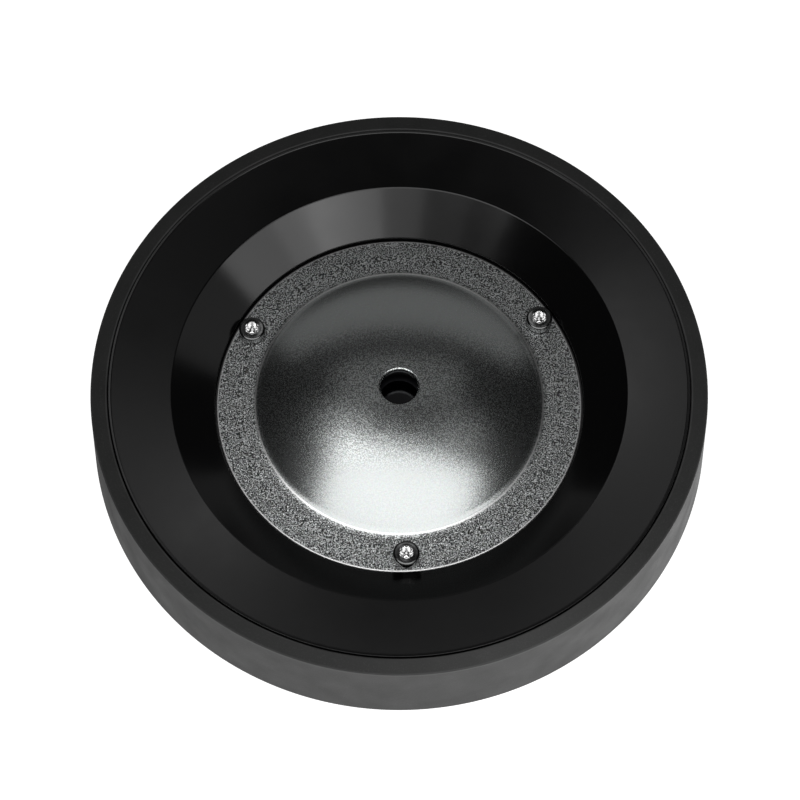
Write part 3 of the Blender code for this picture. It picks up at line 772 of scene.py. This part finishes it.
def base_shell():
    """One turned wall from the foot ring down the funnel and cone to the hub, and three bosses.

    The underside of the funnel and of the cone lies a wall's thickness below their faces."""
    slope = math.atan2(FUNNEL_Z - BREAK_Z, FUNNEL_R - BREAK_R)
    steep = math.radians(CONE_DEG)
    cone_foot = BREAK_Z - (BREAK_R - SEAT_R) * math.tan(steep)
    bisector = (slope + steep) / 2
    reach = BASE_WALL / math.cos((steep - slope) / 2)
    under_r = BREAK_R + reach * math.sin(bisector)
    under_z = BREAK_Z - reach * math.cos(bisector)
    outer_in = BASE_R - OUTER_WALL
    outer_z = under_z + (outer_in - under_r) * math.tan(slope)
    under_foot_r = under_r - (under_z - SEAT_UNDER) / math.tan(steep)
    bearing_top = BEARING_BOTTOM + BEARING_T
    profile = [(SEAT_R, cone_foot, 0.3), (BREAK_R, BREAK_Z, 1.0), (FUNNEL_R, FUNNEL_Z, 0.2)]
    profile += [(LAND_IN, LAND_Z, 0.1), (BASE_R, LAND_Z, 0.15), (BASE_R, OUTER_WALL_Z, 0.3)]
    profile += [(outer_in, OUTER_WALL_Z, 0.3), (outer_in, outer_z, 1.0), (under_r, under_z, 2.0)]
    profile += [(under_foot_r, SEAT_UNDER, 2.0), (RACE_POCKET_R, SEAT_UNDER, 0.2)]
    profile += [(RACE_POCKET_R, RACE_POCKET_Z, 0.2), (HUB_R, RACE_POCKET_Z, 0.8)]
    profile += [(HUB_R, HUB_BOTTOM, 0.4), (HUB_LIP_R, HUB_BOTTOM, 0.2)]
    profile += [(HUB_LIP_R, BEARING_BOTTOM - GAP)]
    bore = BEARING_R + BORE_PLAY
    groove = bore + BORE_GROOVE_DEPTH
    groove_low = bearing_top + GAP - CLIP_PLAY
    groove_high = groove_low + BORE_GROOVE_W
    profile += [(bore, BEARING_BOTTOM - GAP), (bore, groove_low), (groove, groove_low)]
    profile += [(groove, groove_high), (bore, groove_high), (bore, HUB_TOP, 0.2)]
    profile += [(HUB_R, HUB_TOP, 0.4), (HUB_R, FLOOR_Z, 0.8), (FLOOR_R, FLOOR_Z, 0.5)]
    profile += [(SEAT_IN, SEAT_Z, 0.3), (SEAT_R, SEAT_Z, 0.2)]
    mesh = turned("base_shell", rounded(profile), BIG_STEPS)
    centres = [polar(SCREW_CIRCLE, angle) for angle in SCREW_ANGLES]
    mesh = combine(mesh, pins(INSERT_BOSS_R, INSERT_BOSS_Z, SEAT_UNDER + 1.0, centres), "UNION")
    mesh = combine(mesh, pins(INSERT_R + GAP, INSERT_BOTTOM - GAP, SEAT_Z + 1, centres))
    place("base_shell", mesh, GLOSS)


def base_race():
    high = RACE_POCKET_Z - GAP
    mesh = turned("base_race", race_profile(high - RACE_T, high, -1), BIG_STEPS)
    place("base_race", mesh, RACE)


def bearing_shields():
    """Thin rubber rings that close the bearing below and above its balls."""
    inner, outer = INNER_RING_R + 0.15, OUTER_RING_R - 0.1
    low = BEARING_BOTTOM + SHIELD_INSET
    high = BEARING_BOTTOM + BEARING_T - SHIELD_INSET - SHIELD_T
    for node, z in (("bearing_shield_lower", low), ("bearing_shield_upper", high)):
        profile = flat_ring(inner, outer, z, z + SHIELD_T, 0.1, 3)
        place(node, turned(node, profile, MID_STEPS), RUBBER)


def cover_plate():
    """A dome blended into a flange whose top falls outwards, its hole edge turned down."""
    rise = DOME_TOP - PLATE_TOP
    sphere = (DOME_R**2 + rise**2) / (2 * rise)
    centre = (0.0, DOME_TOP - sphere)
    hole_deg = 90 - math.degrees(math.asin((HOLE_R + HOLE_ROUND) / sphere))
    # the fillet touches the flange plane and the sphere: its centre is a fillet radius above
    # the plane and a fillet radius outside the sphere
    lift = PLATE_TOP + DOME_FILLET - centre[1]
    fillet_r = math.sqrt((sphere + DOME_FILLET) ** 2 - lift**2)
    foot_deg = math.degrees(math.asin(lift / (sphere + DOME_FILLET)))
    under = sphere - PLATE_T
    collar_deg = 90 - math.degrees(math.asin(COLLAR_R / under))
    under_deg = 90 - math.degrees(math.asin(UNDER_FOOT_R / under))
    top = arc(centre, sphere, hole_deg, foot_deg, DOME_SEGMENTS)
    fillet_centre = (fillet_r, PLATE_TOP + DOME_FILLET)
    fillet = arc(fillet_centre, DOME_FILLET, foot_deg + 180, 270, BEND_SEGMENTS)[1:]
    flange = [(PLATE_R, PLATE_TOP - FLANGE_FALL, 0.55), (PLATE_R, PLATE_TOP - PLATE_T, 0.1)]
    foot = [(DOME_R - GAP, PLATE_TOP - PLATE_T, 0.5)]
    below = arc(centre, under, under_deg, collar_deg, UNDERSIDE_SEGMENTS)
    collar = [(COLLAR_R, COLLAR_Z, 0.05), (HOLE_R, COLLAR_Z, 0.2)]
    lip_centre = (HOLE_R + HOLE_ROUND, top[0][1] - HOLE_ROUND)
    lip = arc(lip_centre, HOLE_ROUND, 180, 96, BEND_SEGMENTS)
    profile = rounded(top + fillet + flange + foot + below + collar + lip)
    mesh = turned("cover_plate", profile, BIG_STEPS)
    centres = [polar(SCREW_CIRCLE, angle) for angle in SCREW_ANGLES]
    mesh = combine(mesh, pins(SCREW_R + GAP, PLATE_TOP - 3, PLATE_TOP + 1, centres))
    place("cover_plate", mesh, PLATE)


def lobed(radius):
    """The radius of a six-lobed outline as a function of the angle."""

    def at(angle):
        return radius + SOCKET_WAVE * math.cos(SOCKET_LOBES * angle)

    return at


def cover_screws():
    """Pan heads with a countersunk six-lobed socket, whose faces take a brighter steel as a painted
    highlight.
    """
    seat = PLATE_TOP + SCREW_SEAT_GAP
    side = seat + SCREW_HEAD_SIDE
    crown = seat + SCREW_HEAD_H
    bottom = crown - SOCKET_DEPTH

    def on_crown(r):
        return crown - CROWN_FALL * (r / CROWN_R) ** 2

    socket = [(0.5 * SOCKET_R, bottom + 0.28), (lobed(SOCKET_R - 0.1), bottom)]
    socket += [(lobed(SOCKET_R - 0.04), bottom + 0.15), (lobed(SOCKET_R), crown - 0.3)]
    socket += [(COUNTERSINK_R, on_crown(COUNTERSINK_R))]
    top_radii = (COUNTERSINK_R + 0.06, (COUNTERSINK_R + CROWN_R) / 2, CROWN_R)
    head = [(r, on_crown(r)) for r in top_radii]
    shoulder, drop = SCREW_HEAD_R - CROWN_R, on_crown(CROWN_R) - side
    for k in range(1, SHOULDER_SEGMENTS + 1):
        turn = math.radians(90.0 * k / SHOULDER_SEGMENTS)
        head.append((CROWN_R + shoulder * math.sin(turn), side + drop * math.cos(turn)))
    head += [(SCREW_HEAD_R, seat + 0.15), (SCREW_HEAD_R - 0.12, seat), (SCREW_R + 0.1, seat)]
    for i, angle in enumerate(SCREW_ANGLES):
        centre = polar(SCREW_CIRCLE, angle)
        rings = [[(*centre, bottom + SOCKET_POINT)]] + stack(socket + head, MID_STEPS, centre)
        rings += threaded(seat - 0.5, SCREW_END, SCREW_R, centre, MID_STEPS)
        mesh = loft("cover_screw", rings)
        place(f"cover_screw_{i + 1}", mesh, SCREW)
        # the socket's faces take the brighter steel of the painted highlight
        mesh.materials.append(SOCKET_HIGHLIGHT)
        for face in mesh.polygons:
            if face.index < MID_STEPS * len(socket):
                face.material_index = 1


def screw_inserts():
    """Brass inserts with knurls and a waist in their outer wall."""
    inner = SCREW_R + GAP
    waist = (INSERT_TOP + INSERT_BOTTOM) / 2

    def knurled(angle):
        return INSERT_R - KNURL_HALF + KNURL_HALF * math.cos(KNURLS * angle)

    levels = [(inner + 0.1, INSERT_TOP), (INSERT_R - 0.25, INSERT_TOP)]
    levels += [(knurled, INSERT_TOP - 0.2), (knurled, waist + 0.5)]
    levels += [(INSERT_R - 0.3, waist + 0.4), (INSERT_R - 0.3, waist - 0.4)]
    levels += [(knurled, waist - 0.5), (knurled, INSERT_BOTTOM + 0.2)]
    levels += [(INSERT_R - 0.25, INSERT_BOTTOM), (inner + 0.1, INSERT_BOTTOM)]
    levels += [(inner, INSERT_BOTTOM + 0.1), (inner, INSERT_TOP - 0.1)]
    for i, angle in enumerate(SCREW_ANGLES):
        rings = stack(levels, 4 * KNURLS, polar(SCREW_CIRCLE, angle))
        place(f"screw_insert_{i + 1}", loft("screw_insert", rings, closed=True), BRASS)


def split_ring(node, radii, low, thickness, opening_deg):
    """A retaining ring with rounded edges and an opening."""
    start, end = opening_deg / 2, 360.0 - opening_deg / 2
    section = flat_ring(*radii, low, low + thickness, CLIP_EDGE, 3)
    middle_r, middle_z = sum(radii) / 2, low + thickness / 2
    rings = []
    for k in range(CLIP_SEGMENTS + 1):
        turn = start + (end - start) * k / CLIP_SEGMENTS
        rings.append([(*polar(r, turn), z) for r, z in section])
    first = (*polar(middle_r, start), middle_z)
    last = (*polar(middle_r, end), middle_z)
    mesh = loft(node, [[first]] + rings + [[last]])
    mesh.flip_normals()
    place(node, mesh, SPRING)


def circlips():
    low = SPINDLE_GROOVE_LOW + CLIP_PLAY
    thickness = SPINDLE_GROOVE_HIGH - SPINDLE_GROOVE_LOW - 2 * CLIP_PLAY
    split_ring("spindle_circlip", SPINDLE_CLIP_RADII, low, thickness, SPINDLE_CLIP_OPENING_DEG)
    low = BEARING_BOTTOM + BEARING_T + GAP
    thickness = BORE_GROOVE_W - 2 * CLIP_PLAY
    split_ring("bearing_circlip", BORE_CLIP_RADII, low, thickness, BORE_CLIP_OPENING_DEG)


# ---------------------------------------------------------------- ball sets


def thrust_set():
    """The balls that carry the load, in their cage between the two races."""
    inner, outer = RACE_PITCH - THRUST_CAGE_HALF_W, RACE_PITCH + THRUST_CAGE_HALF_W
    low, high = THRUST_BALL_Z - THRUST_CAGE_T / 2, THRUST_BALL_Z + THRUST_CAGE_T / 2
    mesh = turned("thrust_cage", flat_ring(inner, outer, low, high, 0.25, 4), BIG_STEPS)
    spots = on_circle(RACE_PITCH, THRUST_BALLS)
    mesh = combine(mesh, pins(THRUST_BALL_R + THRUST_BALL_PLAY, low - 1, high + 1, spots))
    place("thrust_cage", mesh, NYLON)
    for i, (x, y) in enumerate(spots):
        node = f"thrust_ball_{i + 1:02d}"
        place(node, ball(node, THRUST_BALL_R, (x, y, THRUST_BALL_Z)), BALL)


def bearing_set():
    """The balls of the spindle bearing, in the round pockets of their cage."""
    middle = BEARING_BOTTOM + BEARING_T / 2
    inner, outer = INNER_RING_R + BEARING_CAGE_INSET, OUTER_RING_R - BEARING_CAGE_INSET
    low, high = middle - BEARING_CAGE_HALF_H, middle + BEARING_CAGE_HALF_H
    mesh = turned("bearing_cage", flat_ring(inner, outer, low, high, 0.2, 4), MID_STEPS)
    spots = on_circle(BEARING_PITCH, BEARING_BALLS)
    pockets = []
    for x, y in spots:
        pocket_r, centre = BEARING_BALL_R + BEARING_BALL_PLAY, (x, y, middle + POCKET_LIFT)
        pockets.append(ball("pocket", pocket_r, centre, POCKET_STEPS, CUT_PHASE))
    place("bearing_cage", combine(mesh, pockets), NYLON)
    for i, (x, y) in enumerate(spots):
        node = f"bearing_ball_{i + 1:02d}"
        place(node, ball(node, BEARING_BALL_R, (x, y, middle)), BALL)


# ---------------------------------------------------------------- stage, light and camera


def floor():
    """A plain white floor, lit from within and white to the camera.

    As a light on the object it is weak behind and to the left, strong in front and to the right."""
    half = FLOOR_HALF * MM
    mesh = bpy.data.meshes.new("floor")
    corners = [(-half, -half, 0), (half, -half, 0), (half, half, 0), (-half, half, 0)]
    mesh.from_pydata(corners, [], [(0, 1, 2, 3)])
    obj = bpy.data.objects.new("floor", mesh)
    obj.location.z = -FLOOR_DROP * MM
    bpy.context.scene.collection.objects.link(obj)
    finish = Finish("floor_white", 0.9)
    cloud = finish.noise(300.0, 2.0)
    split = finish.node("ShaderNodeSeparateXYZ", Vector=finish.position)
    rightwards = finish.math("MULTIPLY", split.outputs["X"], 0.6)
    right_and_front = finish.math("SUBTRACT", rightwards, split.outputs["Y"])
    to_object = finish.scaled(right_and_front, -0.06, 0.15, 0.15, 1.4)
    to_camera = finish.node("ShaderNodeLightPath").outputs["Is Camera Ray"]
    glow = finish.math("MAXIMUM", to_object, to_camera)
    finish.set(Base_Color=finish.mix(cloud, grey(0.55), grey(0.57)), Specular_IOR_Level=0.1)
    finish.set(Emission_Color=grey(1.0), Emission_Strength=glow)
    mesh.materials.append(finish.material)


def panel(name, azimuth, elevation, distance, width, height, radiance, roll=0.0, lit=(), unlit=()):
    """A soft rectangular light that faces the object. Angles are in degrees, lengths in metres.

    It lights everything, or only the nodes in lit, or everything but those in unlit."""
    data = bpy.data.lights.new(name, "AREA")
    data.shape = "RECTANGLE"
    data.size = width
    data.size_y = height
    data.energy = radiance * math.pi * width * height
    obj = bpy.data.objects.new(name, data)
    level, up = math.radians(azimuth), math.radians(elevation)
    towards = Vector((math.cos(level) * math.cos(up), math.sin(level) * math.cos(up), math.sin(up)))
    obj.location = towards * distance
    turn = towards.to_track_quat("Z", "Y").to_matrix().to_4x4()
    obj.rotation_euler = (turn @ Matrix.Rotation(math.radians(roll), 4, "Z")).to_euler()
    obj.visible_camera = False
    bpy.context.scene.collection.objects.link(obj)
    if lit or unlit:
        chosen = bpy.data.collections.new(f"{name}_receivers")
        for node in lit + unlit:
            chosen.objects.link(bpy.data.objects[f"{node}_fine"])
        for link in chosen.collection_objects:
            link.light_linking.link_state = "EXCLUDE" if unlit else "INCLUDE"
        obj.light_linking.receiver_collection = chosen


def lights():
    """A softbox above the front, cards behind and above, and lights for single pieces."""
    shell, head, plate = ("base_shell",), ("wheel_head",), ("cover_plate",)
    screws = ("cover_screw_1", "cover_screw_2", "cover_screw_3")
    panel("softbox", -92.0, 67.0, 1.3, 1.6, 1.04, 1.75, roll=-13.0, unlit=shell)
    panel("shell_softbox", -92.0, 70.5, 1.3, 1.5, 0.86, 1.75, roll=-4.0, lit=shell)
    panel("back_card", 88.0, 22.5, 1.6, 2.6, 0.92, 0.17)
    panel("overhead_card", 90.0, 62.0, 1.3, 1.1, 0.5, 0.13)
    panel("front_right_strip", -58.0, 44.5, 1.6, 0.9, 0.4, 2.4, lit=shell)
    panel("right_strip", -24.0, 38.5, 1.6, 0.53, 0.4, 1.9, lit=shell)
    panel("far_right_strip", 4.0, 30.0, 1.6, 0.79, 0.4, 0.35, lit=shell)
    panel("front_strip", -90.0, 46.0, 1.6, 0.39, 0.4, 1.0, lit=shell)
    panel("front_left_strip", -110.0, 45.0, 1.6, 0.4, 0.4, 0.35, lit=shell)
    panel("left_back_card", 115.0, 57.0, 1.2, 0.16, 0.5, 0.95, lit=shell)
    panel("right_back_card", 71.5, 52.5, 1.2, 0.22, 0.28, 0.9, lit=shell)
    panel("rim_card", 60.0, 76.0, 1.2, 0.5, 0.5, 1.2, lit=head)
    panel("rim_spot", -62.0, 52.0, 0.2, 0.06, 0.06, 8.0, lit=head)
    panel("foot_card", 90.0, 61.0, 1.2, 0.36, 0.16, 0.38, lit=shell)
    panel("left_wing", 163.0, 66.0, 1.2, 0.36, 0.36, 0.4, lit=plate)
    panel("right_wing", 12.0, 65.0, 1.2, 0.3, 0.4, 0.2, lit=plate)
    panel("screw_card", 90.0, 65.0, 1.2, 0.5, 0.5, 0.9, lit=screws)


def surroundings():
    """Dim surroundings for reflections, and white where the camera looks past the floor."""
    world = bpy.data.worlds.new("studio")
    bpy.context.scene.world = world
    world.use_nodes = True
    tree = world.node_tree
    background = tree.nodes["Background"]
    rays = tree.nodes.new("ShaderNodeLightPath")
    mixed = tree.nodes.new("ShaderNodeMix")
    mixed.data_type = "RGBA"
    mixed.inputs[6].default_value = grey(0.014)
    mixed.inputs[7].default_value = grey(1.0)
    tree.links.new(rays.outputs["Is Camera Ray"], mixed.inputs["Factor"])
    tree.links.new(mixed.outputs[2], background.inputs["Color"])


def camera():
    """A long lens from the front, well above the rim."""
    elevation = math.radians(CAMERA_DEG)
    distance = CAMERA_DISTANCE * MM
    aim = Vector(CAMERA_AIM) * MM
    data = bpy.data.cameras.new("camera")
    data.sensor_width = CAMERA_SENSOR
    data.lens = CAMERA_LENS
    obj = bpy.data.objects.new("camera", data)
    back = Vector((0.0, -math.cos(elevation), math.sin(elevation)))
    obj.location = aim + back * distance
    obj.rotation_euler = (math.pi / 2 - elevation, 0.0, 0.0)
    bpy.context.scene.collection.objects.link(obj)
    bpy.context.scene.camera = obj


wheel_head()
head_race()
spindle()
flange_screws()
bearing_rings()
spindle_washer()
base_shell()
base_race()
bearing_shields()
cover_plate()
cover_screws()
screw_inserts()
circlips()
thrust_set()
bearing_set()
floor()
lights()
surroundings()
camera()
bpy.context.scene.view_settings.view_transform = "Standard"
